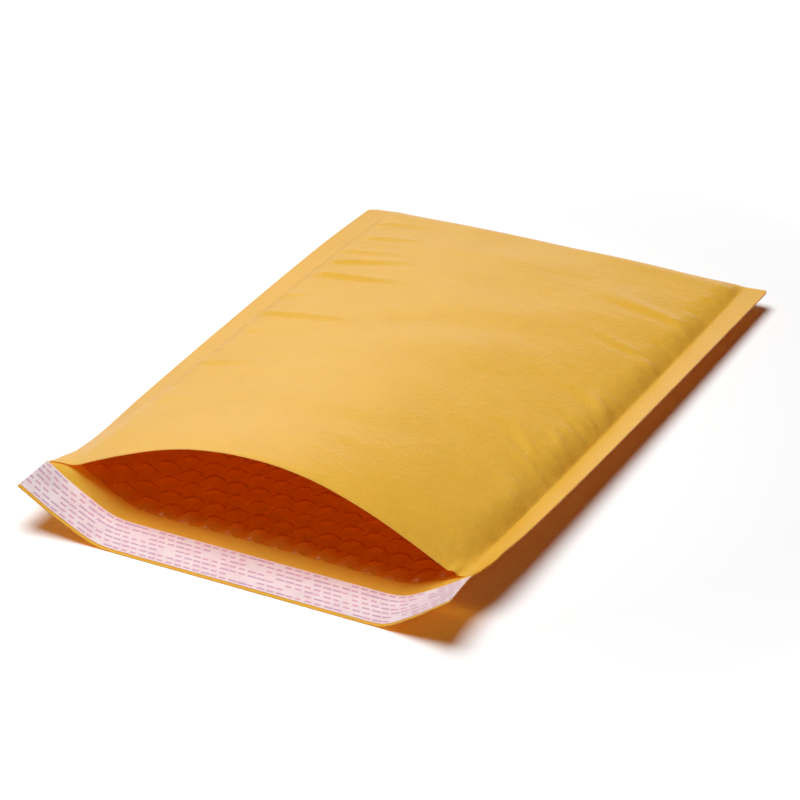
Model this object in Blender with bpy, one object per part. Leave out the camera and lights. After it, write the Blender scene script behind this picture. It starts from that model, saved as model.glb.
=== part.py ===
"""A padded envelope (bubble mailer), lying on its back with its mouth held open.

It is made the way the real one is: one web of kraft paper is folded at the bottom, lined with one web of
bubble film, and heat sealed along both sides, where the film is crushed flat. The back panel runs on past
the mouth as the flap, which carries a strip of adhesive under a peel-off liner.

Every piece starts as a flat grid, its blank. A blank has a column for each station across the envelope and
a row for each station along the web, and the functions under "Shape of the filled envelope" say where a
point of the blank lies once the envelope is folded, sealed and filled. Depth is counted from the paper's
outer face towards the pocket, so pieces that are laminated in the real envelope stay one bond line apart.

Metres, +Z up. X runs across, Y from the mouth to the bottom fold. The origin is on the floor, under the
middle of the back panel.
"""

import bisect
import math

import bmesh
import bpy

# Flat sizes of the envelope
PANEL_WIDTH = 0.216
PANEL_LENGTH = 0.305
FLAP_LENGTH = 0.029
SEAM_WIDTH = 0.0115

# Thicknesses
PAPER_THICKNESS = 0.0003
BOND_LINE = 0.00025
FILM_THICKNESS = 0.0003
BUBBLE_PITCH = 0.0138
BUBBLE_HEIGHT = 0.0038
BUBBLE_SLOPE = 0.0024
ADHESIVE_THICKNESS = 0.0003
LINER_THICKNESS = 0.00025

# Where the lining and the strips stop short of the edges beside them
LINING_SETBACK = 0.005
POCKET_END = 0.004
LINER_TO_MOUTH = 0.005
LINER_TO_EDGE = 0.0015
ADHESIVE_INSET = 0.003

# How far the front panel stands up, and how it bows between the seams
MOUTH_RISE = 0.0283
FOLD_RISE = 0.0055
RISE_POWER = 1.05
ARCH_POWER = 1.15
PUFF_HEIGHT = 0.0046
PUFF_RUN = 0.014
MOUTH_PUFF_RUN = 0.03

# How the back panel lies: it lifts a little towards the bottom fold, and climbs to the seams
FOLD_LIFT = 0.0015
FOLD_LIFT_RUN = 0.08
CLIMB_POWER = 1.1

# How each side seam lies. Each station gives its distance from the mouth as a share of the panel's length,
# the heights of the seam's inner and outer edge, how far the side has drawn in, and how far inside the seam
# the back panel leaves the floor. The first station is the flap's free edge.
LEFT_SEAM = (
    (-0.095, 0.0153, 0.0207, 0.0062, 0.029),
    (0.000, 0.0176, 0.0160, 0.0050, 0.030),
    (0.045, 0.0166, 0.0122, 0.0035, 0.030),
    (0.080, 0.0154, 0.0096, 0.0025, 0.029),
    (0.150, 0.0136, 0.0076, 0.0015, 0.028),
    (0.260, 0.0122, 0.0076, 0.0011, 0.027),
    (0.500, 0.0108, 0.0080, 0.0010, 0.024),
    (0.830, 0.0088, 0.0076, 0.0009, 0.018),
    (1.000, 0.0062, 0.0054, 0.0010, 0.016),
)
RIGHT_SEAM = (
    (-0.095, 0.0149, 0.0219, 0.0014, 0.021),
    (0.000, 0.0140, 0.0192, 0.0038, 0.024),
    (0.030, 0.0143, 0.0198, 0.0014, 0.026),
    (0.060, 0.0143, 0.0199, 0.0006, 0.026),
    (0.130, 0.0136, 0.0183, 0.0003, 0.026),
    (0.330, 0.0118, 0.0155, 0.0003, 0.024),
    (0.600, 0.0102, 0.0128, 0.0005, 0.021),
    (0.830, 0.0090, 0.0108, 0.0008, 0.018),
    (1.000, 0.0085, 0.0092, 0.0011, 0.016),
)

# Fineness of the faceted model
ROWS_PER_STATION = 2
ROWS_AT_MOUTH = 5
FOLD_STEPS = 2
FLAP_ROWS = 2
WELD = 0.000005

KRAFT_COLOUR = (0.78, 0.46, 0.13, 1.0)
FILM_COLOUR = (0.86, 0.80, 0.70, 1.0)
ADHESIVE_COLOUR = (0.85, 0.78, 0.60, 1.0)
LINER_COLOUR = (0.88, 0.80, 0.82, 1.0)

# Sizes that follow from those above
HALF_WIDTH = PANEL_WIDTH / 2
HALF_POCKET = HALF_WIDTH - SEAM_WIDTH
HALF_SEAM_THICKNESS = PAPER_THICKNESS + BOND_LINE + FILM_THICKNESS
LINING_DEPTH = PAPER_THICKNESS + BOND_LINE
POCKET_DEPTH = LINING_DEPTH + FILM_THICKNESS
STRAIGHT_LENGTH = PANEL_LENGTH - HALF_SEAM_THICKNESS
MOUTH_Y = -PANEL_LENGTH / 2
ADHESIVE_DEPTH = PAPER_THICKNESS + BOND_LINE
LINER_DEPTH = ADHESIVE_DEPTH + ADHESIVE_THICKNESS + BOND_LINE
LINER_SPAN = (-FLAP_LENGTH + LINER_TO_EDGE, -LINER_TO_MOUTH)
ADHESIVE_SPAN = (LINER_SPAN[0] + ADHESIVE_INSET, LINER_SPAN[1] - ADHESIVE_INSET)
ADHESIVE_HALF_WIDTH = HALF_WIDTH - ADHESIVE_INSET

BUBBLE_COLUMNS = max(3, round(2 * HALF_POCKET / BUBBLE_PITCH))
ROW_PITCH = BUBBLE_PITCH * math.sqrt(3) / 2
POCKET_START = LINING_SETBACK
POCKET_STOP = STRAIGHT_LENGTH - POCKET_END
BUBBLE_ROWS = max(4, round((POCKET_STOP - POCKET_START) / ROW_PITCH))


# Shape of the filled envelope


def smooth(share):
    """0 at 0, 1 at 1, and level at both ends."""
    share = min(max(share, 0.0), 1.0)
    return share * share * (3 - 2 * share)


def swell(share):
    """0 at 0, 1 at 1, steep at the start and level at the end."""
    share = min(max(share, 0.0), 1.0)
    return 1 - (1 - share) ** 2


def curve_through(stations, at):
    """The values at one place on a smooth curve through stations of (place, value, value, ...)."""
    places = [station[0] for station in stations]
    at = min(max(at, places[0]), places[-1])
    after = min(bisect.bisect_right(places, at), len(places) - 1)
    before = after - 1
    span = places[after] - places[before]
    t = (at - places[before]) / span

    def slope(index, value):
        low, high = stations[max(index - 1, 0)], stations[min(index + 1, len(stations) - 1)]
        return (high[value] - low[value]) / (high[0] - low[0])

    return [
        (2 * t**3 - 3 * t**2 + 1) * stations[before][value]
        + (t**3 - 2 * t**2 + t) * span * slope(before, value)
        + (3 * t**2 - 2 * t**3) * stations[after][value]
        + (t**3 - t**2) * span * slope(after, value)
        for value in range(1, len(stations[0]))
    ]


def seams_at(along):
    """For the left and the right seam: inner height, outer height, draw-in and run of the back panel's climb."""
    share = min(along / STRAIGHT_LENGTH, 1.0)
    return curve_through(LEFT_SEAM, share), curve_through(RIGHT_SEAM, share)


def parting_height(across, along):
    """Height of the surface that runs through both seams and the bottom fold."""
    left, right = seams_at(along)
    share = min(max((across / HALF_POCKET + 1) / 2, 0.0), 1.0)
    height = left[0] + (right[0] - left[0]) * share
    beyond = max(abs(across) - HALF_POCKET, 0.0) / SEAM_WIDTH
    inner, outer = (right if across > 0 else left)[:2]
    return height + (outer - inner) * beyond


def front_height(across, along):
    """Height of the front panel's outer face."""
    base = parting_height(across, along) + HALF_SEAM_THICKNESS
    inside = max(HALF_POCKET - abs(across), 0.0)
    to_mouth = 1 - min(max(along / STRAIGHT_LENGTH, 0.0), 1.0)
    rise = FOLD_RISE + (MOUTH_RISE - FOLD_RISE) * to_mouth**RISE_POWER
    puff = PUFF_HEIGHT * smooth(along / MOUTH_PUFF_RUN)
    bow = max(1 - (across / HALF_POCKET) ** 2, 0.0) ** ARCH_POWER
    from_fold = swell((STRAIGHT_LENGTH - along) / PUFF_RUN)
    return base + from_fold * (puff * swell(inside / PUFF_RUN) + (rise - puff) * bow)


def back_height(across, along):
    """Height of the back panel's and the flap's outer face. The middle lies on the floor."""
    left, right = seams_at(along)
    run = (right if across > 0 else left)[3]
    edge = parting_height(across, along) - HALF_SEAM_THICKNESS
    inside = max(HALF_POCKET - abs(across), 0.0)
    climb = max(1 - inside / run, 0.0) ** CLIMB_POWER
    from_fold = STRAIGHT_LENGTH - along
    floor = FOLD_LIFT * max(1 - from_fold / FOLD_LIFT_RUN, 0.0) ** 2
    return floor + (edge - floor) * (1 - (1 - climb) * swell(from_fold / PUFF_RUN))


def sideways(across, along):
    """X of a station across the blank: the sides draw in towards the mouth, as paper doesn't stretch."""
    left, right = seams_at(along)
    inner, outer, draw_in, _ = right if across > 0 else left
    half_chord = HALF_POCKET - draw_in
    if abs(across) <= HALF_POCKET:
        return half_chord * across / HALF_POCKET
    beyond = (abs(across) - HALF_POCKET) / SEAM_WIDTH
    return math.copysign(half_chord + beyond * math.sqrt(SEAM_WIDTH**2 - (outer - inner) ** 2), across)


def on_back(across, along, depth):
    """A point of the back panel or the flap."""
    return (sideways(across, along), MOUTH_Y + along, back_height(across, along) + depth)


def on_front(across, along, depth):
    """A point of the front panel."""
    return (sideways(across, along), MOUTH_Y + along, front_height(across, along) - depth)


def on_fold(across, angle, depth):
    """A point of the bottom fold: angle runs from -90 degrees at the back panel to 90 at the front."""
    radius = HALF_SEAM_THICKNESS - depth
    return (
        sideways(across, STRAIGHT_LENGTH),
        MOUTH_Y + STRAIGHT_LENGTH + radius * math.cos(angle),
        parting_height(across, STRAIGHT_LENGTH) + radius * math.sin(angle),
    )


def between_panels(across, along):
    """Half the clear height between the panels' outer faces."""
    return (front_height(across, along) - back_height(across, along)) / 2


def stations_beside(stations, at):
    """The stations before and after a place, and how far it lies from the first to the second."""
    after = min(max(bisect.bisect_right(stations, at), 1), len(stations) - 1)
    before = after - 1
    return stations[before], stations[after], (at - stations[before]) / (stations[after] - stations[before])


def on_facet(point_on, across, along, depth):
    """A point on the paper's facets. They are split one way on the back panel and the other way on the front."""
    left, right, over = stations_beside(web_columns(), across)
    near, far, up = stations_beside(back_rows(), along)
    if point_on is on_back:
        weights = (1 - max(over, up), max(over - up, 0), max(up - over, 0), min(over, up))
    else:
        weights = (max(1 - over - up, 0), min(over, 1 - up), min(up, 1 - over), max(over + up - 1, 0))
    corners = [point_on(column, row, depth) for row in (near, far) for column in (left, right)]
    return [sum(weight * corner[axis] for weight, corner in zip(weights, corners)) for axis in range(3)]


# Stations of the blanks


def pocket_columns():
    """Stations across the pocket: half a bubble pitch apart, so that the bubbles can be staggered."""
    count = 2 * BUBBLE_COLUMNS
    return [HALF_POCKET * (2 * i / count - 1) for i in range(count + 1)]


def web_columns():
    """Stations across the whole web, seams included: half a pitch apart by the seams, a pitch apart between."""
    columns = pocket_columns()
    last = len(columns) - 1
    kept = [c for i, c in enumerate(columns) if i < 2 or i > last - 2 or i % 2 == 0]
    return [-HALF_WIDTH, -ADHESIVE_HALF_WIDTH, *kept, ADHESIVE_HALF_WIDTH, HALF_WIDTH]


def pocket_rows():
    """Distances from the mouth of the rows between bubbles."""
    pitch = (POCKET_STOP - POCKET_START) / BUBBLE_ROWS
    return [POCKET_START + pitch * j for j in range(BUBBLE_ROWS + 1)]


def panel_rows():
    """Distances from the mouth of a panel's rows: every bubble row near its two ends, fewer between."""
    rows = pocket_rows()
    kept = [r for j, r in enumerate(rows) if j < ROWS_AT_MOUTH or j > BUBBLE_ROWS - 3 or j % ROWS_PER_STATION == 0]
    return [*kept, STRAIGHT_LENGTH]


def fold_angles():
    """Angles from the back panel round the bottom fold to the front panel, both ends left out."""
    steps = 2 * FOLD_STEPS
    return [math.pi * (k / steps - 0.5) for k in range(1, steps)]


def flap_rows():
    """Distances from the mouth of the flap's rows, free edge first: the strips' edges and rows between them."""
    start, stop = ADHESIVE_SPAN
    between = [start + (stop - start) * k / FLAP_ROWS for k in range(FLAP_ROWS + 1)]
    return [-FLAP_LENGTH, LINER_SPAN[0], *between, LINER_SPAN[1]]


def back_rows():
    """Distances from the mouth of the rows from the flap's free edge to the bottom fold."""
    return [*flap_rows(), 0.0, *panel_rows()]


# Making the pieces


def flat_blank(columns, rows):
    """A grid with one vertex for each column and row. Its vertices hold (column, row, 0)."""
    bm = bmesh.new()
    bmesh.ops.create_grid(bm, x_segments=columns - 1, y_segments=rows - 1, size=0.5)
    for vertex in bm.verts:
        x, y, _ = vertex.co
        vertex.co = (round((x + 0.5) * (columns - 1)), round((y + 0.5) * (rows - 1)), 0)
    return bm


def split(bm, method):
    """Cuts every quad of a blank along the same diagonal, so that layers with the same stations stay parallel."""
    bmesh.ops.triangulate(bm, faces=bm.faces[:], quad_method=method)


def thicken(bm):
    """Gives a blank a second face, whose vertices hold (column, row, 1)."""
    made = bmesh.ops.extrude_face_region(bm, geom=bm.faces[:])
    for item in made["geom"]:
        if isinstance(item, bmesh.types.BMVert):
            item.co.z = 1


def lay(bm, place):
    """Moves every vertex of a blank to place(column, row, level)."""
    for vertex in bm.verts:
        column, row, level = vertex.co
        vertex.co = place(column, row, level)


def finish(name, bm, colour, roughness, collection):
    """Makes a named object of a blank that has been laid in place."""
    bmesh.ops.recalc_face_normals(bm, faces=bm.faces[:])
    mesh = bpy.data.meshes.new(name)
    bm.to_mesh(mesh)
    bm.free()
    mesh.shade_smooth()
    mesh.set_sharp_from_angle(angle=math.radians(40))
    material = bpy.data.materials.new(name)
    material.use_nodes = True
    shader = material.node_tree.nodes["Principled BSDF"]
    shader.inputs["Base Color"].default_value = colour
    shader.inputs["Roughness"].default_value = roughness
    shader.inputs["Metallic"].default_value = 0.0
    mesh.materials.append(material)
    piece = bpy.data.objects.new(name, mesh)
    collection.objects.link(piece)
    return piece


def kraft_paper(collection):
    """The paper web: flap, back panel, bottom fold and front panel in one folded sheet."""
    columns = web_columns()
    back = [(on_back, along) for along in back_rows()]
    fold = [(on_fold, angle) for angle in fold_angles()]
    front = [(on_front, along) for along in reversed([0.0, *panel_rows()])]
    web = [*back, *fold, *front]
    bm = flat_blank(len(columns), len(web))
    split(bm, "FIXED")
    thicken(bm)

    def place(column, row, level):
        point_on, station = web[int(row)]
        return point_on(columns[int(column)], station, level * PAPER_THICKNESS)

    lay(bm, place)
    return finish("kraft_paper", bm, KRAFT_COLOUR, 0.75, collection)


def lining_back_of_wall(point_on, side):
    """The wall's face against the paper, with its cut edges. Its rows run from the mouth to the fold."""
    columns = web_columns()
    last = len(columns) + 1
    rows = panel_rows()
    steps = [*rows, *[side * math.pi / 2 * (1 - k / FOLD_STEPS) for k in range(1, FOLD_STEPS + 1)]]
    bm = flat_blank(last + 1, len(steps) + 1)
    split(bm, "FIXED" if side < 0 else "ALTERNATE")

    def place(column, row, _):
        cut_edge = column in (0, last)
        across = columns[int(min(max(column - 1, 0), last - 2))]
        if row == 0:
            middle = cut_edge or abs(across) >= HALF_POCKET
            depth = between_panels(across, POCKET_START) if middle else POCKET_DEPTH
            return point_on(across, POCKET_START, depth)
        if row > len(rows):
            angle = steps[int(row) - 1]
            return on_fold(across, angle, HALF_SEAM_THICKNESS if cut_edge else LINING_DEPTH)
        along = steps[int(row) - 1]
        return point_on(across, along, between_panels(across, along) if cut_edge else LINING_DEPTH)

    lay(bm, place)
    return bm


def bubbled_face_of_wall(point_on):
    """The wall's face towards the pocket: staggered six-sided cells, each with a bubble raised inside it."""
    columns = pocket_columns()
    rows = pocket_rows()
    bm = flat_blank(len(columns), len(rows))
    between_cells = [
        edge
        for edge in bm.edges
        if edge.verts[0].co.x == edge.verts[1].co.x
        and 0 < edge.verts[0].co.x < len(columns) - 1
        and (edge.verts[0].co.x + min(edge.verts[0].co.y, edge.verts[1].co.y)) % 2 == 1
    ]
    bmesh.ops.dissolve_edges(bm, edges=between_cells, use_verts=False)
    spare = [v for v in bm.verts if v.co.y == 0 and columns[int(v.co.x)] not in web_columns()]
    bmesh.ops.dissolve_verts(bm, verts=spare)

    zigzag = BUBBLE_PITCH / math.sqrt(3) / 4
    for vertex in bm.verts:
        column, row, _ = vertex.co
        shift = 0 if vertex.is_boundary else -zigzag if (column + row) % 2 else zigzag
        vertex.co = (columns[int(column)], rows[int(row)] + shift, 0)

    def sealed(across, along):
        return abs(across) > HALF_POCKET - WELD or along > POCKET_STOP - WELD

    cells = [face for face in bm.faces if not any(sealed(v.co.x, v.co.y) for v in face.verts)]
    bmesh.ops.inset_individual(bm, faces=cells, thickness=BUBBLE_SLOPE, use_even_offset=True)
    for cell in cells:
        for vertex in cell.verts:
            vertex.co.z = 1

    def place(across, along, level):
        floor = on_facet(on_back, across, along, 0)[2]
        ceiling = on_facet(on_front, across, along, 0)[2]
        room = (ceiling - floor) / 2
        if sealed(across, along):
            return on_facet(point_on, across, along, room)
        height = min(BUBBLE_HEIGHT, max(room - POCKET_DEPTH - BOND_LINE, 0.0))
        return on_facet(point_on, across, along, POCKET_DEPTH + level * height)

    lay(bm, place)
    return bm


def bubble_lining(collection):
    """The bubble film: two walls in one pouch, crushed together along both seams and at the bottom fold."""
    bm = bmesh.new()
    parts = (
        lining_back_of_wall(on_back, -1),
        bubbled_face_of_wall(on_back),
        lining_back_of_wall(on_front, 1),
        bubbled_face_of_wall(on_front),
    )
    for part in parts:
        mesh = bpy.data.meshes.new("wall")
        part.to_mesh(mesh)
        part.free()
        bm.from_mesh(mesh)
        bpy.data.meshes.remove(mesh)
    bmesh.ops.remove_doubles(bm, verts=bm.verts[:], dist=WELD)
    return finish("bubble_lining", bm, FILM_COLOUR, 0.2, collection)


def strip(name, span, half_width, depth, thickness, colour, roughness, collection):
    """A strip laid on the flap's inner face, over a span of distances from the mouth."""
    columns = [c for c in web_columns() if abs(c) < half_width + WELD]
    rows = [r for r in flap_rows() if span[0] - WELD < r < span[1] + WELD]
    bm = flat_blank(len(columns), len(rows))
    split(bm, "FIXED")
    thicken(bm)
    lay(bm, lambda column, row, level: on_back(columns[int(column)], rows[int(row)], depth + level * thickness))
    return finish(name, bm, colour, roughness, collection)


def clear_scene():
    for old in list(bpy.data.objects):
        bpy.data.objects.remove(old)


def main():
    clear_scene()
    collection = bpy.data.collections.new("padded_envelope")
    bpy.context.scene.collection.children.link(collection)
    kraft_paper(collection)
    bubble_lining(collection)
    strip(
        "adhesive_strip",
        ADHESIVE_SPAN,
        ADHESIVE_HALF_WIDTH,
        ADHESIVE_DEPTH,
        ADHESIVE_THICKNESS,
        ADHESIVE_COLOUR,
        0.35,
        collection,
    )
    strip(
        "release_liner",
        LINER_SPAN,
        HALF_WIDTH,
        LINER_DEPTH,
        LINER_THICKNESS,
        LINER_COLOUR,
        0.4,
        collection,
    )


main()
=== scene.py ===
import math

import bpy
import numpy as np
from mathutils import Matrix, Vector


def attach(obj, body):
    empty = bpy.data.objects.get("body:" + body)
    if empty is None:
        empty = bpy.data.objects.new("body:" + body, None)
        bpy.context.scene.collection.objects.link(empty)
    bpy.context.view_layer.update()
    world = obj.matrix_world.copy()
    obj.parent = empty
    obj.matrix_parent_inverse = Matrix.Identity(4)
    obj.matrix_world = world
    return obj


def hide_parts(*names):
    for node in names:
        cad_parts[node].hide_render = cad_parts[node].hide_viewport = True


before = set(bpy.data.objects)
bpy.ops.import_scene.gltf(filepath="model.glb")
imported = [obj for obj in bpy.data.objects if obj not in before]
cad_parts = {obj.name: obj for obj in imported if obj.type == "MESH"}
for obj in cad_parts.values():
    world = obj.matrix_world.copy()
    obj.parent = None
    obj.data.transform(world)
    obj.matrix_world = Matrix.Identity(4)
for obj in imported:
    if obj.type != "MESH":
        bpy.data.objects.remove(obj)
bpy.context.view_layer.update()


# Camera at the photograph's viewing angle

cameraPlace = {
    "target": (-0.0075, -0.0083, 0.0),
    "azimuth": 27.325,
    "elevation": 29.046,
    "distance": 1.5459,
    "lens": 153.0,
    "sensor": 36.0,
    "farthest": 30,
}


def makeCamera(s):
    azimuth, elevation = math.radians(s["azimuth"]), math.radians(s["elevation"])
    back = Vector((
        math.sin(azimuth) * math.cos(elevation),
        -math.cos(azimuth) * math.cos(elevation),
        math.sin(elevation),
    ))
    data = bpy.data.cameras.new("camera")
    data.lens = s["lens"]
    data.sensor_width = s["sensor"]
    data.clip_end = s["farthest"]
    camera = bpy.data.objects.new("camera", data)
    camera.location = Vector(s["target"]) + back * s["distance"]
    camera.rotation_euler = (-back).to_track_quat("-Z", "Y").to_euler()
    bpy.context.scene.collection.objects.link(camera)
    bpy.context.scene.camera = camera


makeCamera(cameraPlace)
print("camera made")


# Shape of the filled envelope, in metres. Across runs over the flat width, along runs from the mouth to the
# bottom fold, and depth is counted from the paper's outer face towards the pocket.

envelope = {
    "width": 0.216,
    "length": 0.305,
    "flap": 0.029,
    "seam": 0.0115,
    "paper": 0.0003,
    "layers": 0.00085,  # half the thickness of the closed pouch
    "pressed": 0.00045,  # the same where the sides are heat sealed
    "pressRun": 0.005,
    "mouthRise": 0.0283,
    "foldRise": 0.0055,
    "risePower": 1.05,
    "archPower": 1.15,
    "puff": 0.0046,  # the bulge beside each seam, and how far in it rises
    "puffRun": 0.0125,
    "puffWaves": (  # length, share of the run, phase
        (0.047, 0.15, 3.51),
        (0.013, 0.13, 2.0),
        (0.0078, 0.08, 0.0),
    ),
    "mouthPuffRun": 0.03,
    "foldPuffLoss": 0.30,  # share of the bulge that is gone at the fold
    "foldPuffRun": 0.09,
    "foldLift": 0.0015,
    "foldLiftRun": 0.08,
    "floorBend": 0.11,  # softness of the bend where the back panel leaves the floor
    "steepest": 30,  # keeps the bend's exponential within range
    "seamBend": (0.0005, 0.0034),  # softness of the bends at the seams: mid-length and at the mouth
    "seamBendRun": 0.035,
    "bendSamples": (-1.0, -0.6, -0.2, 0.2, 0.6, 1.0),
    "curl": (0.0007, -0.0014),  # bow of the sealed sides at the mouth, left and right
    "curlRun": 0.020,
    "farCorners": (0.0034, 0.0008),  # radius of the bottom corners, left and right
}
halfWidth = envelope["width"] / 2
halfPocket = halfWidth - envelope["seam"]
straight = envelope["length"] - envelope["layers"]
mouthY = -envelope["length"] / 2

# Each station: share of the panel's length from the mouth, heights of the seam's inner and outer edge,
# draw-in of the side, and how far inside the seam the back panel leaves the floor
leftSeam = (
    (-0.095, 0.0147, 0.0206, 0.0060, 0.029),
    (-0.016, 0.0139, 0.0202, 0.0051, 0.025),
    (0.000, 0.0170, 0.0162, 0.0048, 0.028),
    (0.045, 0.0166, 0.0122, 0.0035, 0.030),
    (0.080, 0.0154, 0.0096, 0.0025, 0.029),
    (0.150, 0.0136, 0.0076, 0.0015, 0.028),
    (0.260, 0.0122, 0.0076, 0.0011, 0.027),
    (0.500, 0.0108, 0.0080, 0.0010, 0.024),
    (0.830, 0.0088, 0.0076, 0.0009, 0.018),
    (1.000, 0.0062, 0.0054, 0.0010, 0.016),
)
rightSeam = (
    (-0.095, 0.0149, 0.0219, 0.0014, 0.021),
    (-0.016, 0.0137, 0.0202, 0.0036, 0.0225),
    (0.000, 0.0142, 0.0196, 0.0036, 0.024),
    (0.030, 0.0143, 0.0198, 0.0014, 0.026),
    (0.060, 0.0143, 0.0199, 0.0006, 0.026),
    (0.130, 0.0136, 0.0183, 0.0003, 0.026),
    (0.330, 0.0118, 0.0155, 0.0003, 0.024),
    (0.600, 0.0102, 0.0128, 0.0005, 0.021),
    (0.830, 0.0090, 0.0108, 0.0008, 0.018),
    (1.000, 0.0085, 0.0092, 0.0011, 0.016),
)


def smooth(share):
    share = np.clip(share, 0, 1)
    return share * share * (3 - 2 * share)


def swell(share):
    return 1 - (1 - np.clip(share, 0, 1)) ** 2


# A smooth curve through each station's values
def curveThrough(stations, at):
    table = np.array(stations)
    places, values = table[:, 0], table[:, 1:]
    slopes = np.empty_like(values)
    slopes[1:-1] = (values[2:] - values[:-2]) / (places[2:] - places[:-2])[:, None]
    slopes[0] = (values[1] - values[0]) / (places[1] - places[0])
    slopes[-1] = (values[-1] - values[-2]) / (places[-1] - places[-2])
    at = np.clip(at, places[0], places[-1])
    after = np.clip(np.searchsorted(places, at, side="right"), 1, len(places) - 1)
    before = after - 1
    reach = (places[after] - places[before])[:, None]
    t = ((at - places[before])[:, None]) / reach
    curve = (
        (2 * t**3 - 3 * t**2 + 1) * values[before]
        + (t**3 - 2 * t**2 + t) * reach * slopes[before]
        + (3 * t**2 - 2 * t**3) * values[after]
        + (t**3 - t**2) * reach * slopes[after]
    )
    return curve.T


def seamsAt(along):
    share = np.minimum(along / straight, 1)
    return curveThrough(leftSeam, share), curveThrough(rightSeam, share)


# Height where the two panels part, in the seams and across the pocket
def partingAt(across, along, left, right):
    over = np.clip((across / halfPocket + 1) / 2, 0, 1)
    beyond = np.maximum(np.abs(across) - halfPocket, 0) / envelope["seam"]
    onRight = across > 0
    fall = np.where(onRight, right[1] - right[0], left[1] - left[0])
    curl = np.where(onRight, envelope["curl"][1], envelope["curl"][0])
    atMouth = smooth(1 - np.abs(along) / envelope["curlRun"]) * (along >= 0)
    bow = curl * atMouth * np.sin(math.pi * np.clip(beyond, 0, 1))
    return left[0] + (right[0] - left[0]) * over + fall * beyond + bow


def halfLayers(across):
    e = envelope
    pressed = smooth((np.abs(across) - halfPocket) / e["pressRun"] + 1)
    return e["layers"] + (e["pressed"] - e["layers"]) * pressed


# Heights of the front and back panel's outer faces
def panelsAt(across, along, left, right):
    e = envelope
    parting = partingAt(across, along, left, right)
    half = halfLayers(across)
    inside = np.maximum(halfPocket - np.abs(across), 0)
    fromFold = swell((straight - along) / e["puffRun"])
    toMouth = 1 - np.clip(along / straight, 0, 1)
    rise = e["foldRise"] + (e["mouthRise"] - e["foldRise"]) * toMouth ** e["risePower"]
    puff = e["puff"] * smooth(along / e["mouthPuffRun"])
    puff = puff * (1 - e["foldPuffLoss"] * smooth(1 - (straight - along) / e["foldPuffRun"]))
    bow = np.maximum(1 - (across / halfPocket) ** 2, 0) ** e["archPower"]
    uneven = sum(share * np.sin(2 * math.pi * along / wave + phase) for wave, share, phase in e["puffWaves"])
    bulge = puff * swell(inside / (e["puffRun"] * (1 + uneven)))
    front = parting + half + fromFold * (bulge + (rise - puff) * bow)

    run = np.where(across > 0, right[3], left[3])
    bend, steepest = e["floorBend"], e["steepest"]
    climb = bend * np.log1p(np.exp(np.clip((1 - inside / run) / bend, -steepest, steepest)))
    floor = e["foldLift"] * np.maximum(1 - (straight - along) / e["foldLiftRun"], 0) ** 2
    edge = parting - half
    back = floor + (edge - floor) * (1 - (1 - np.minimum(climb, 1)) * fromFold)
    return front, back, parting


# The whole shape at arrays of across and along, with the bends at the seams softened
def shapeAt(across, along):
    e = envelope
    left, right = seamsAt(along)
    midBend, mouthBend = e["seamBend"]
    soft = midBend + (mouthBend - midBend) * smooth(1 - np.abs(along) / e["seamBendRun"])
    fields = [panelsAt(across + offset * soft, along, left, right) for offset in e["bendSamples"]]
    front, back, parting = (np.mean([f[k] for f in fields], axis=0) for k in range(3))

    onRight = across > 0
    inner, outer, drawIn, _ = np.where(onRight, right, left)
    beyond = np.maximum(np.abs(across) - halfPocket, 0) / e["seam"]
    radius = np.where(onRight, e["farCorners"][1], e["farCorners"][0])
    off = np.clip(radius - (straight - along), 0, radius)
    kept = 1 - (radius - np.sqrt(radius**2 - off**2)) / e["seam"]
    flange = beyond * np.sqrt(e["seam"] ** 2 - (outer - inner) ** 2) * kept
    chord = (halfPocket - drawIn) * np.clip(np.abs(across) / halfPocket, 0, 1)
    return {
        "x": np.sign(across) * (chord + flange),
        "y": mouthY + along,
        "front": front,
        "back": back,
        "parting": parting,
        "half": halfLayers(across),
    }


# Creases drawn in from the seams. Marked ones: side, along, degrees towards the fold, distance inside the
# seam where it starts, length, width, height

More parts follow.
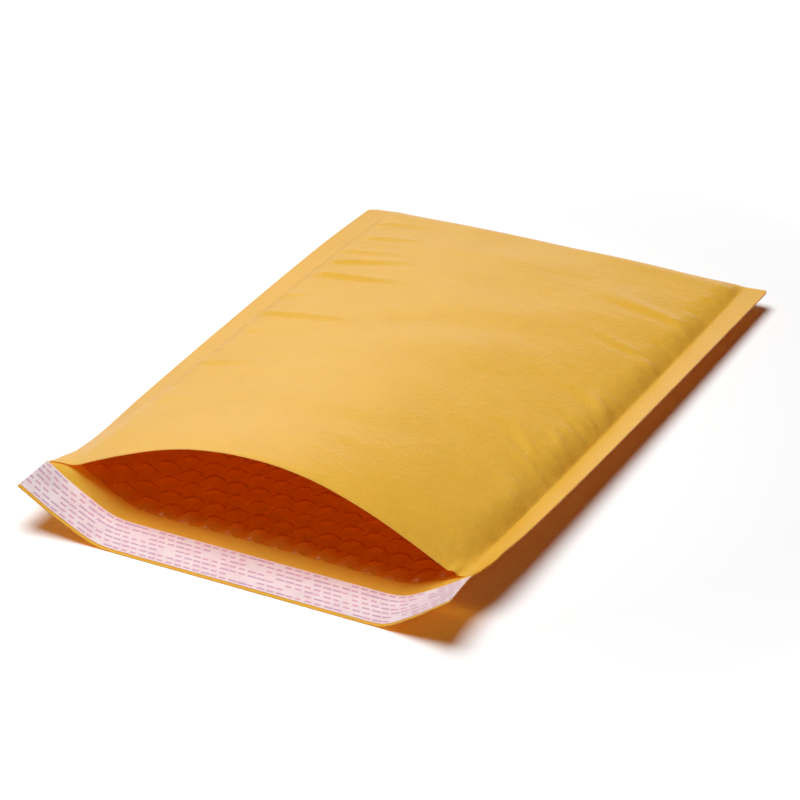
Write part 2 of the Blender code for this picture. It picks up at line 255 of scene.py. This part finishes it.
creases = {
    "marked": (
        (1, 0.2440, 10, 0.002, 0.064, 0.0036, 0.00085),
        (1, 0.2045, 20, 0.010, 0.040, 0.0034, 0.00055),
        (1, 0.1505, 20, 0.000, 0.032, 0.0034, 0.00100),
        (1, 0.1300, 28, 0.003, 0.026, 0.0028, 0.00045),
        (1, 0.1095, 42, 0.006, 0.024, 0.0028, 0.00060),
        (1, 0.0945, 38, 0.011, 0.038, 0.0032, 0.00070),
        (1, 0.0620, 30, 0.003, 0.026, 0.0028, 0.00045),
        (-1, 0.2800, 10, 0.001, 0.040, 0.0024, 0.00040),
        (-1, 0.2580, 12, 0.001, 0.056, 0.0024, 0.00050),
        (-1, 0.2400, 8, 0.002, 0.050, 0.0024, 0.00046),
        (-1, 0.2248, 16, 0.002, 0.060, 0.0024, 0.00080),
        (-1, 0.2110, 2, 0.001, 0.072, 0.0024, 0.00095),
        (-1, 0.1850, 6, 0.001, 0.030, 0.0022, 0.00034),
        (-1, 0.1608, 2, 0.000, 0.070, 0.0024, 0.00095),
        (-1, 0.1400, 9, 0.001, 0.034, 0.0024, 0.00036),
        (-1, 0.1043, 2, 0.001, 0.052, 0.0024, 0.00080),
        (-1, 0.0646, -6, 0.002, 0.044, 0.0028, 0.00050),
    ),
    "wobble": 0.10,  # share of the width that a crease sways aside
    "wobblePace": 7,
    "wobblePhase": 900,
    "widening": (0.7, 0.9),  # width at the start, and what it gains by the end
    "fadeIn": 0.16,
    "fadeOut": 0.8,
    "troughDepth": 0.75,
    "troughAside": 1.5,
    "flatNearEdge": 0.005,
    "flatNearFold": 0.01,
    "seed": 11,
    "perSide": 32,
    "jitter": (0.1, 0.9),
    "lengthUsed": 0.97,
    "angles": (-8, 24),
    "rightTurn": 14,  # those on the right lean more towards the fold
    "insets": (0.000, 0.007),
    "lengths": (0.006, 0.024),
    "widths": (0.0014, 0.0032),
    "heights": (0.00008, 0.00036),
    "waveSeed": 12,
    "waves": 60,
    "waveLengths": (0.008, 0.050),
    "waveHeight": 0.00028,
    "waveStretch": 0.5,
    "pinch": {"start": (0.0950, 0.000), "end": (0.0925, 0.012), "width": 0.0017, "height": 0.0013},
}


def creaseHeight(across, along, side, start, degrees, inset, length, width, height):
    s = creases
    angle = math.radians(degrees)
    reach = halfPocket - side * across - inset
    inward = reach * math.cos(angle) + (along - start) * math.sin(angle)
    aside = (along - start) * math.cos(angle) - reach * math.sin(angle)
    share = inward / length
    aside = aside - s["wobble"] * width * np.sin(share * s["wobblePace"] + start * s["wobblePhase"])
    width = width * (s["widening"][0] + s["widening"][1] * np.clip(share, 0, 1))
    run = smooth(share / s["fadeIn"]) * smooth((1 - share) / s["fadeOut"])
    trough = s["troughDepth"] * np.exp(-(((aside + s["troughAside"] * width) / width) ** 2))
    ridge = np.exp(-((aside / width) ** 2)) - trough
    return height * run * ridge


def creaseHeights(across, along, s):
    pick = np.random.default_rng(s["seed"])
    ranges = [s[key] for key in ("angles", "insets", "lengths", "widths", "heights")]
    heights = np.zeros_like(across)
    for mark in s["marked"]:
        heights += creaseHeight(across, along, *mark)
    for side in (-1, 1):
        turn = s["rightTurn"] if side > 0 else 0
        for k in range(s["perSide"]):
            start = (k + pick.uniform(*s["jitter"])) / s["perSide"] * envelope["length"] * s["lengthUsed"]
            degrees, *others = [pick.uniform(*limits) for limits in ranges]
            heights += creaseHeight(across, along, side, start, degrees + turn, *others)
    return heights


# Low swells all over the paper, as a sum of waves in many directions, longer across than along
def waveHeights(across, along, s):
    pick = np.random.default_rng(s["waveSeed"])
    heights = np.zeros_like(across)
    for _ in range(s["waves"]):
        heading = pick.uniform(0, math.pi)
        length = pick.uniform(*s["waveLengths"])
        phase = pick.uniform(0, 2 * math.pi)
        place = across * s["waveStretch"] * math.cos(heading) + along * math.sin(heading)
        heights += length / s["waveLengths"][1] * np.sin(2 * math.pi * place / length + phase)
    return heights * s["waveHeight"] / math.sqrt(s["waves"] / 2)


# Small fold of the front panel at the mouth's right corner
def pinchHeights(across, along, s):
    start, end = np.array(s["start"]), np.array(s["end"])
    length = np.linalg.norm(end - start)
    heading = (end - start) / length
    onward = ((across - start[0]) * heading[0] + (along - start[1]) * heading[1]) / length
    aside = (across - start[0]) * heading[1] - (along - start[1]) * heading[0]
    return s["height"] * smooth(1 - onward) * np.exp(-((aside / s["width"]) ** 2))


# How far creases, swells and the pinch lift the front panel, paper and film together
def frontLift(across, along):
    s = creases
    edge = swell((halfPocket - np.abs(across)) / s["flatNearEdge"])
    edge = edge * smooth((straight - along) / s["flatNearFold"])
    lift = edge * (creaseHeights(across, along, s) + waveHeights(across, along, s))
    return lift + pinchHeights(across, along, s["pinch"])


# Sheets

uvPerMetre = 10
sharpAngle = math.radians(60)


def span(start, stop, step):
    count = max(1, round(abs(stop - start) / step))
    return [start + (stop - start) * i / count for i in range(count + 1)]


# A grid laid out by place(across, side, along, angle), with its faces outward, and made solid
def makeSheet(name, columns, rows, place, thickness):
    bpy.ops.object.select_all(action="DESELECT")
    bpy.ops.mesh.primitive_grid_add(x_subdivisions=len(columns) - 1, y_subdivisions=len(rows) - 1, size=1)
    sheet = bpy.context.object
    sheet.name = sheet.data.name = name
    flat = np.empty(len(sheet.data.vertices) * 3)
    sheet.data.vertices.foreach_get("co", flat)
    flat = flat.reshape(-1, 3)
    column = np.rint((flat[:, 0] + 0.5) * (len(columns) - 1)).astype(int)
    row = np.rint((flat[:, 1] + 0.5) * (len(rows) - 1)).astype(int)
    across = np.array(columns)[column]
    side, along, angle = np.array(rows)[row].T
    places = place(across, side, along, angle)
    sheet.data.vertices.foreach_set("co", np.stack(places, axis=1).ravel())
    addFlatPlaces(sheet, across, along)
    bpy.ops.object.mode_set(mode="EDIT")
    bpy.ops.mesh.select_all(action="SELECT")
    bpy.ops.mesh.flip_normals()
    bpy.ops.object.mode_set(mode="OBJECT")
    wall = sheet.modifiers.new("wall", "SOLIDIFY")
    wall.thickness = thickness
    wall.offset = -1
    bpy.ops.object.modifier_apply(modifier=wall.name)
    bpy.ops.object.shade_smooth_by_angle(angle=sharpAngle)
    return sheet


# A UV map that holds each point's place on the flat sheet
def addFlatPlaces(sheet, across, along):
    uv = sheet.data.uv_layers[0] if sheet.data.uv_layers else sheet.data.uv_layers.new(name="flat")
    uv.name = "flat"
    corners = np.empty(len(sheet.data.loops), dtype=int)
    sheet.data.loops.foreach_get("vertex_index", corners)
    places = np.stack([across[corners], along[corners]], axis=1) * uvPerMetre
    uv.data.foreach_set("uv", places.ravel())


# Points at a depth on the back panel, round the fold or on the front panel: side -1, 0 or 1
def layOn(shape, side, angle, depth, lift=0):
    radius = shape["half"] - depth
    foldY = shape["y"] + radius * np.cos(angle)
    foldZ = shape["parting"] + radius * np.sin(angle)
    z = np.where(side < 0, shape["back"] + depth, shape["front"] - depth + lift)
    return shape["x"], np.where(side == 0, foldY, shape["y"]), np.where(side == 0, foldZ, z)


def dress(piece, material, node):
    piece.data.materials.clear()
    piece.data.materials.append(material)
    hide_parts(node)
    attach(piece, "root")


# Materials

def newMaterial(name):
    material = bpy.data.materials.new(name)
    material.use_nodes = True
    nodes, links = material.node_tree.nodes, material.node_tree.links
    nodes.clear()
    return material, nodes, links


def addNode(nodes, kind, values=None, **settings):
    node = nodes.new(kind)
    for key, value in settings.items():
        setattr(node, key, value)
    for key, value in (values or {}).items():
        node.inputs[key].default_value = value
    return node


# Sets a socket to a number or a colour, or links an output to it
def feed(links, value, socket):
    if isinstance(value, (int, float)):
        socket.default_value = value
    elif isinstance(value, tuple):
        socket.default_value = (*value, 1)
    else:
        links.new(value, socket)


def coordinates(nodes, kind):
    return addNode(nodes, "ShaderNodeTexCoord").outputs[kind]


def rampBetween(nodes, links, factor, stops):
    ramp = addNode(nodes, "ShaderNodeValToRGB")
    elements = ramp.color_ramp.elements
    while len(elements) < len(stops):
        elements.new(0.5)
    for element, (position, colour) in zip(elements, stops):
        element.position = position
        element.color = (*colour, 1)
    links.new(factor, ramp.inputs["Fac"])
    return ramp.outputs["Color"]


def greyRamp(nodes, links, factor, stops):
    return rampBetween(nodes, links, factor, [(position, (grey, grey, grey)) for position, grey in stops])


def noiseAt(nodes, links, vector, scale, detail, roughness=0.5):
    values = {"Scale": scale, "Detail": detail, "Roughness": roughness}
    noise = addNode(nodes, "ShaderNodeTexNoise", values)
    links.new(vector, noise.inputs["Vector"])
    return noise.outputs["Fac"]


# Noise whose scale differs by direction
def stretchedNoise(nodes, links, vector, scales, detail, roughness=0.5):
    mapping = addNode(nodes, "ShaderNodeMapping", {"Scale": scales})
    links.new(vector, mapping.inputs["Vector"])
    return noiseAt(nodes, links, mapping.outputs["Vector"], 1.0, detail, roughness)


def mixed(nodes, links, factor, first, second):
    mix = addNode(nodes, "ShaderNodeMix", data_type="RGBA")
    for value, socket in ((factor, 0), (first, 6), (second, 7)):
        feed(links, value, mix.inputs[socket])
    return mix.outputs[2]


def maths(nodes, links, operation, first, second=0.0):
    node = addNode(nodes, "ShaderNodeMath", operation=operation)
    feed(links, first, node.inputs[0])
    feed(links, second, node.inputs[1])
    return node.outputs["Value"]


# Each factor times its share, added up from a start
def scaledSum(nodes, links, terms, total=0.0):
    for factor, share in terms:
        node = addNode(nodes, "ShaderNodeMath", operation="MULTIPLY_ADD")
        for value, socket in ((factor, 0), (share, 1), (total, 2)):
            feed(links, value, node.inputs[socket])
        total = node.outputs["Value"]
    return total


def paintShader(nodes, links, colour, roughness, specular=0.5):
    shader = addNode(nodes, "ShaderNodeBsdfPrincipled", {"Specular IOR Level": specular})
    links.new(colour, shader.inputs["Base Color"])
    feed(links, roughness, shader.inputs["Roughness"])
    return shader


def bump(nodes, links, shader, height, s):
    node = addNode(nodes, "ShaderNodeBump", {"Strength": s["strength"], "Distance": s["distance"]})
    links.new(height, node.inputs["Height"])
    links.new(node.outputs["Normal"], shader.inputs["Normal"])


def mixShaders(nodes, links, factor, first, second):
    mix = addNode(nodes, "ShaderNodeMixShader")
    feed(links, factor, mix.inputs[0])
    links.new(first.outputs[0], mix.inputs[1])
    links.new(second.outputs[0], mix.inputs[2])
    return mix


# Paper and film let some coloured light through, so that their shadows are tinted
def finish(nodes, links, shader, shadowTint=None):
    if shadowTint:
        tint = addNode(nodes, "ShaderNodeBsdfTransparent", {"Color": (*shadowTint, 1)})
        inShadow = addNode(nodes, "ShaderNodeLightPath").outputs["Is Shadow Ray"]
        shader = mixShaders(nodes, links, inShadow, shader, tint)
    output = addNode(nodes, "ShaderNodeOutputMaterial")
    links.new(shader.outputs[0], output.inputs["Surface"])


kraftLook = {
    "pale": (0.765, 0.575, 0.076),
    "mid": (0.75, 0.550, 0.065),
    "deep": (0.72, 0.518, 0.054),
    "toneStops": (0.36, 0.5, 0.64),
    "toneShares": (0.5, 0.3, 0.2),  # of clouds, mottle and fibres
    "fibre": (0.68, 0.37, 0.050),
    "fibreStops": ((0.45, 0.0), (0.85, 0.5)),
    "through": (0.98, 0.38, 0.022),
    "throughShare": 0.26,
    "shadowTint": (0.53, 0.31, 0.06),
    "roughness": 0.30,
    "mottleRoughness": 0.16,
    "specular": 0.58,
    "fibreScales": (500, 1900, 900),
    "crossFibreScales": (1700, 420, 900),
    "rumpleScales": (400, 440, 400),
    "cloudScale": 38,
    "mottleScale": 260,
    "relief": (0.12, 0.15, 2.8, 1.8),  # of fibres, cross fibres, rumple and clouds
    "bump": {"strength": 0.6, "distance": 0.00022},
}


def kraftMaterial(s):
    material, nodes, links = newMaterial("kraft")
    place = coordinates(nodes, "Object")
    fibres = stretchedNoise(nodes, links, place, s["fibreScales"], 4, 0.55)
    crossFibres = stretchedNoise(nodes, links, place, s["crossFibreScales"], 4, 0.55)
    rumple = stretchedNoise(nodes, links, place, s["rumpleScales"], 3, 0.55)
    clouds = noiseAt(nodes, links, place, s["cloudScale"], 5, 0.6)
    mottle = noiseAt(nodes, links, place, s["mottleScale"], 4, 0.6)
    tone = scaledSum(nodes, links, zip((clouds, mottle, fibres), s["toneShares"]))
    colour = rampBetween(nodes, links, tone, list(zip(s["toneStops"], (s["deep"], s["mid"], s["pale"]))))
    fibreMask = greyRamp(nodes, links, crossFibres, s["fibreStops"])
    colour = mixed(nodes, links, fibreMask, colour, s["fibre"])
    roughness = scaledSum(nodes, links, ((mottle, s["mottleRoughness"]),), s["roughness"])
    shader = paintShader(nodes, links, colour, roughness, s["specular"])
    relief = scaledSum(nodes, links, zip((fibres, crossFibres, rumple, clouds), s["relief"]))
    bump(nodes, links, shader, relief, s["bump"])
    through = addNode(nodes, "ShaderNodeBsdfTranslucent", {"Color": (*s["through"], 1)})
    both = mixShaders(nodes, links, s["throughShare"], shader, through)
    finish(nodes, links, both, s["shadowTint"])
    return material


filmLook = {
    # The skin's orange-red, deeper than the golden paper it lies on, is partly painted shade: it stands in for
    # the deep colour of the shaded pocket
    "pale": (0.82, 0.36, 0.045),
    "deep": (0.74, 0.27, 0.022),
    "hazeScale": 120,
    "hazeStops": (0.35, 0.65),
    "tint": (0.98, 0.78, 0.42),
    "clearShare": 0.66,
    "shadowTint": (0.98, 0.95, 0.88),
    "roughness": 0.13,
    "specular": 0.6,
    "bumpScale": 330,
    "bump": {"strength": 0.5, "distance": 0.0004},
}


# Clear film over golden paper: part glossy skin in an orange-red that is partly painted shade of the pocket's
# inside, part see-through
def filmMaterial(s):
    material, nodes, links = newMaterial("bubble_film")
    place = coordinates(nodes, "Object")
    haze = noiseAt(nodes, links, place, s["hazeScale"], 4, 0.6)
    colour = rampBetween(nodes, links, haze, list(zip(s["hazeStops"], (s["deep"], s["pale"]))))
    shader = paintShader(nodes, links, colour, s["roughness"], s["specular"])
    bump(nodes, links, shader, noiseAt(nodes, links, place, s["bumpScale"], 3, 0.55), s["bump"])
    clear = addNode(nodes, "ShaderNodeBsdfTransparent", {"Color": (*s["tint"], 1)})
    both = mixShaders(nodes, links, s["clearShare"], shader, clear)
    finish(nodes, links, both, s["shadowTint"])
    return material


linerLook = {
    "paper": (0.86, 0.74, 0.75),
    "shade": (0.80, 0.66, 0.68),
    "shadeScale": 12,
    "shadeStops": (0.35, 0.65),
    "inks": ((0.62, 0.13, 0.30), (0.40, 0.13, 0.36)),
    "lines": 7,
    "lineWidth": 0.18,  # half the inked share of a row
    "dash": 0.0046,
    "dashShares": (0.55, 0.40),  # inked share of the shortest dash, and how much the longest has more
    "rowShift": 0.37,
    "gapScale": 0.37,
    "gapBelow": 0.38,
    "wearScale": 210,
    "wear": (0.22, 0.7),  # least strength of the ink, and what it varies by
    "shadowTint": (0.80, 0.72, 0.66),
    "roughness": 0.36,
    "specular": 0.45,
    "bumpScale": 20,
    "bump": {"strength": 0.2, "distance": 0.0004},
}


# Smooth pinkish paper with rows of plain broken lines along it
def linerMaterial(s, strip):
    material, nodes, links = newMaterial("liner")
    flat = coordinates(nodes, "UV")
    parts = addNode(nodes, "ShaderNodeSeparateXYZ")
    links.new(flat, parts.inputs[0])
    pitch = (strip["to"] - strip["from"]) / s["lines"] * uvPerMetre

    def calc(operation, first, second=0.0):
        return maths(nodes, links, operation, first, second)

    rowPlace = calc("DIVIDE", calc("SUBTRACT", parts.outputs[1], strip["from"] * uvPerMetre), pitch)
    row = calc("FLOOR", rowPlace)
    offLine = calc("ABSOLUTE", calc("SUBTRACT", calc("FRACT", rowPlace), 0.5))
    onLine = calc("LESS_THAN", offLine, s["lineWidth"])
    dashes = calc("DIVIDE", parts.outputs[0], s["dash"] * uvPerMetre)
    dashPlace = calc("ADD", dashes, calc("MULTIPLY", row, s["rowShift"]))
    cell = addNode(nodes, "ShaderNodeCombineXYZ")
    links.new(calc("FLOOR", dashPlace), cell.inputs[0])
    links.new(row, cell.inputs[1])
    chance = addNode(nodes, "ShaderNodeTexWhiteNoise", noise_dimensions="2D")
    links.new(cell.outputs[0], chance.inputs["Vector"])
    shortest, more = s["dashShares"]
    length = calc("ADD", calc("MULTIPLY", chance.outputs["Value"], more), shortest)
    onDash = calc("LESS_THAN", calc("FRACT", dashPlace), length)
    printed = calc("GREATER_THAN", noiseAt(nodes, links, cell.outputs[0], s["gapScale"], 0), s["gapBelow"])
    ink = calc("MULTIPLY", calc("MULTIPLY", onLine, onDash), printed)
    wear = noiseAt(nodes, links, flat, s["wearScale"], 3)
    least, varied = s["wear"]
    ink = calc("MULTIPLY", ink, scaledSum(nodes, links, ((wear, varied),), least))
    inkColour = mixed(nodes, links, chance.outputs["Value"], *s["inks"])
    shades = noiseAt(nodes, links, flat, s["shadeScale"], 4)
    ground = rampBetween(nodes, links, shades, list(zip(s["shadeStops"], (s["shade"], s["paper"]))))
    colour = mixed(nodes, links, ink, ground, inkColour)
    shader = paintShader(nodes, links, colour, s["roughness"], s["specular"])
    bump(nodes, links, shader, noiseAt(nodes, links, flat, s["bumpScale"], 3), s["bump"])
    finish(nodes, links, shader, s["shadowTint"])
    return material


adhesiveLook = {
    "pale": (0.86, 0.76, 0.52),
    "deep": (0.78, 0.66, 0.40),
    "streakScales": (60, 900, 900),
    "streakStops": (0.3, 0.7),
    "roughness": 0.22,
    "shadowTint": (0.95, 0.90, 0.75),
}


def adhesiveMaterial(s):
    material, nodes, links = newMaterial("adhesive")
    streaks = stretchedNoise(nodes, links, coordinates(nodes, "Object"), s["streakScales"], 3)
    colour = rampBetween(nodes, links, streaks, list(zip(s["streakStops"], (s["deep"], s["pale"]))))
    shader = paintShader(nodes, links, colour, s["roughness"])
    finish(nodes, links, shader, s["shadowTint"])
    return material


# Kraft paper: the flap, the back panel, the bottom fold and the front panel in one sheet

kraftSheet = {
    "seamStep": 0.0013,
    "seamFineStep": 0.0004,
    "seamFineSpan": 0.0012,
    "besideSeam": 0.030,
    "middleStep": 0.0022,
    "frontStep": 0.0013,
    "flapStep": 0.0018,
    "mouthBackStep": 0.0026,
    "mouthBackSpan": 0.05,
    "backStep": 0.006,
    "foldBackSpan": 0.02,
    "foldSteps": 8,
}


def sheetColumns(s):
    edge = halfPocket - s["besideSeam"]
    fineFrom, fineTo = halfPocket - s["seamFineSpan"], halfPocket + s["seamFineSpan"]
    right = span(edge, fineFrom, s["seamStep"])[1:] + span(fineFrom, fineTo, s["seamFineStep"])[1:]
    right += span(fineTo, halfWidth, s["seamStep"])[1:]
    return [-c for c in reversed(right)] + span(-edge, edge, s["middleStep"]) + right


def makeKraft(s):
    mouthEnd, foldStart = s["mouthBackSpan"], straight - s["foldBackSpan"]
    rows = [(-1, a, 0) for a in span(-envelope["flap"], 0, s["flapStep"])[:-1]]
    rows += [(-1, a, 0) for a in span(0, mouthEnd, s["mouthBackStep"])[:-1]]
    rows += [(-1, a, 0) for a in span(mouthEnd, foldStart, s["backStep"])[:-1]]
    rows += [(-1, a, 0) for a in span(foldStart, straight, s["frontStep"])]
    rows += [(0, straight, math.pi * (k / s["foldSteps"] - 0.5)) for k in range(1, s["foldSteps"])]
    rows += [(1, a, 0) for a in span(straight, 0, s["frontStep"])]

    def place(across, side, along, angle):
        return layOn(shapeAt(across, along), side, angle, 0, frontLift(across, along))

    kraft = makeSheet("kraft_sheet", sheetColumns(s), rows, place, envelope["paper"])
    dress(kraft, kraftMaterial(kraftLook), "kraft_paper")


makeKraft(kraftSheet)
print("kraft paper made")


# Bubble film: one web folded with the paper, pressed flat in the seams, with rows of round bubbles towards the
# pocket, each row half a pitch aside from the last

bubbles = {
    "across": 17,
    "rows": 30,
    "radius": 0.0050,
    "height": 0.0030,
    "roundness": 0.36,  # 0.5 is a half ball, less is flatter on top
    "start": 0.005,
    "end": 0.004,
    "samplesAcross": 7,
    "samplesAlong": 6,
    "sideMargin": 0.0003,
    "seamStep": 0.0028,
    "gap": 0.0002,  # kept free between bubbles that face each other
    "thickness": 0.00016,
}
bubblePitch = 2 * halfPocket / bubbles["across"]
filmStop = straight - bubbles["end"]
bubbleRow = (filmStop - bubbles["start"]) / bubbles["rows"]


# 0 between bubbles, 1 at the crown of each
def bubbleHeights(across, along):
    row = np.floor((along - bubbles["start"]) / bubbleRow)
    heights = np.zeros_like(across)
    for near in (-1, 0, 1):
        centreRow = row + near
        centreAlong = bubbles["start"] + (centreRow + 0.5) * bubbleRow
        aside = np.where(centreRow % 2 == 0, 0.5, 0.0)
        column = np.round(across / bubblePitch - aside) + aside
        distance = np.hypot(across - column * bubblePitch, along - centreAlong) / bubbles["radius"]
        whole = (centreRow >= 0) & (centreRow < bubbles["rows"])
        whole &= np.abs(column * bubblePitch) < halfPocket - bubbles["radius"]
        dome = np.clip(1 - distance**2, 0, 1) ** bubbles["roundness"]
        heights = np.maximum(heights, np.where(whole, dome, 0))
    return heights


def makeLining(s):
    seamColumns = span(halfPocket, halfWidth - s["sideMargin"], s["seamStep"])[1:]
    pocketColumns = span(-halfPocket, halfPocket, bubblePitch / s["samplesAcross"])
    columns = [-c for c in reversed(seamColumns)] + pocketColumns + seamColumns
    back = [(-1, a, 0) for a in span(s["start"], filmStop, bubbleRow / s["samplesAlong"])]
    rows = back + [(1, a, 0) for _, a, _ in reversed(back)]

    def place(across, side, along, angle):
        shape = shapeAt(across, along)
        outer = envelope["paper"] + np.maximum(shape["half"] - envelope["pressed"], 0) / 2
        clear = np.maximum((shape["front"] - shape["back"]) / 2 - shape["half"] - s["gap"], 0)
        height = np.minimum(s["height"], clear) * bubbleHeights(across, along)
        return layOn(shape, side, angle, outer + height, frontLift(across, along))

    lining = makeSheet("bubble_film", columns, rows, place, s["thickness"])
    dress(lining, filmMaterial(filmLook), "bubble_lining")


makeLining(bubbles)
print("bubble lining made")


# Adhesive and its peel-off liner on the flap

strips = {
    "adhesive": {
        "from": -0.0245, "to": -0.008, "inset": 0.003, "depth": 0.00033, "thickness": 0.00008, "step": 0.0016,
    },
    "liner": {
        "from": -0.0273, "to": -0.005, "inset": 0.0002, "depth": 0.00043, "thickness": 0.00016, "step": 0.0014,
    },
}


def makeStrip(name, s):
    columns = span(-halfWidth + s["inset"], halfWidth - s["inset"], s["step"])
    rows = [(-1, a, 0) for a in span(s["from"], s["to"], s["step"])]

    def place(across, side, along, angle):
        return layOn(shapeAt(across, along), side, angle, s["depth"])

    return makeSheet(name, columns, rows, place, s["thickness"])


dress(makeStrip("glue_strip", strips["adhesive"]), adhesiveMaterial(adhesiveLook), "adhesive_strip")
dress(makeStrip("peel_liner", strips["liner"]), linerMaterial(linerLook, strips["liner"]), "release_liner")
print("adhesive and liner made")


# Floor, light and background

stage = {
    "floorSize": 12,
    "floorColour": (0.99, 0.99, 0.99),
    "bounceColour": (0.56, 0.56, 0.56),  # what the floor throws back up at the envelope
    "glow": (  # white added for the camera, by distance
        (0.0, 0.0), (0.20, 0.0), (0.25, 0.05), (0.36, 0.4), (1.0, 1.0),
    ),
}

lights = {
    "key": {"at": (-0.17, -0.08, 1.05), "size": 0.75, "power": 13.8, "shines": False},
    "side": {"at": (-2.0, 0.9, 0.9), "size": 1.2, "power": 1.2, "shines": True},
    "sky": 0.006,
    "backdrop": (  # white in gloss, by height
        (0.0, 0.35), (0.12, 0.65), (0.22, 1.0), (0.31, 0.75), (0.39, 0.25), (0.46, 0.0),
    ),
    "backdropLean": 0.8,  # it ends lower towards the right
    "backdropShift": 0.4,
    "backdropStrength": 2.6,
}


# 1 for rays from the camera and through clear film, so that they see white
def seenDirectly(nodes, links, path):
    return maths(nodes, links, "MAXIMUM", path.outputs["Is Camera Ray"], path.outputs["Is Transmission Ray"])


def makeFloor(s):
    bpy.ops.object.select_all(action="DESELECT")
    bpy.ops.mesh.primitive_plane_add(size=s["floorSize"], location=(0, 0, 0))
    floor = bpy.context.object
    floor.name = floor.data.name = "floor"
    material, nodes, links = newMaterial("white_floor")
    matt = addNode(nodes, "ShaderNodeBsdfDiffuse", {"Color": (*s["floorColour"], 1)})
    dull = addNode(nodes, "ShaderNodeBsdfDiffuse", {"Color": (*s["bounceColour"], 1)})
    distance = addNode(nodes, "ShaderNodeVectorMath", operation="LENGTH")
    links.new(coordinates(nodes, "Object"), distance.inputs[0])
    glow = addNode(nodes, "ShaderNodeEmission")
    links.new(greyRamp(nodes, links, distance.outputs["Value"], s["glow"]), glow.inputs["Color"])
    lifted = addNode(nodes, "ShaderNodeAddShader")
    links.new(matt.outputs[0], lifted.inputs[0])
    links.new(glow.outputs[0], lifted.inputs[1])
    path = addNode(nodes, "ShaderNodeLightPath")
    bounced = mixShaders(nodes, links, path.outputs["Is Diffuse Ray"], matt, dull)
    finish(nodes, links, mixShaders(nodes, links, seenDirectly(nodes, links, path), bounced, lifted))
    floor.data.materials.append(material)


def makeLamp(name, s):
    data = bpy.data.lights.new(name, "AREA")
    data.shape = "DISK"
    data.size = s["size"]
    data.energy = s["power"]
    lamp = bpy.data.objects.new(name, data)
    lamp.location = s["at"]
    lamp.rotation_euler = (-Vector(s["at"])).to_track_quat("-Z", "Y").to_euler()
    lamp.visible_glossy = s["shines"]
    bpy.context.scene.collection.objects.link(lamp)


# A dim studio that is white to the camera, with a leaning band of white that shows in gloss alone
def makeSky(s):
    world = bpy.data.worlds.new("studio")
    world.use_nodes = True
    nodes, links = world.node_tree.nodes, world.node_tree.links
    nodes.clear()
    parts = addNode(nodes, "ShaderNodeSeparateXYZ")
    links.new(coordinates(nodes, "Generated"), parts.inputs[0])
    shifted = maths(nodes, links, "ADD", parts.outputs[0], s["backdropShift"])
    leaning = maths(nodes, links, "MULTIPLY", shifted, s["backdropLean"])
    height = maths(nodes, links, "ADD", parts.outputs[2], leaning)
    gloss = addNode(nodes, "ShaderNodeBackground", {"Strength": s["backdropStrength"]})
    links.new(greyRamp(nodes, links, height, s["backdrop"]), gloss.inputs["Color"])
    ambient = addNode(nodes, "ShaderNodeBackground", {"Strength": s["sky"]})
    white = addNode(nodes, "ShaderNodeBackground")
    path = addNode(nodes, "ShaderNodeLightPath")
    lit = mixShaders(nodes, links, path.outputs["Is Glossy Ray"], ambient, gloss)
    seen = mixShaders(nodes, links, seenDirectly(nodes, links, path), lit, white)
    output = addNode(nodes, "ShaderNodeOutputWorld")
    links.new(seen.outputs[0], output.inputs["Surface"])
    bpy.context.scene.world = world


makeFloor(stage)
makeLamp("key", lights["key"])
makeLamp("side", lights["side"])
makeSky(lights)
bpy.context.scene.view_settings.view_transform = "Standard"
print("floor and lights made")
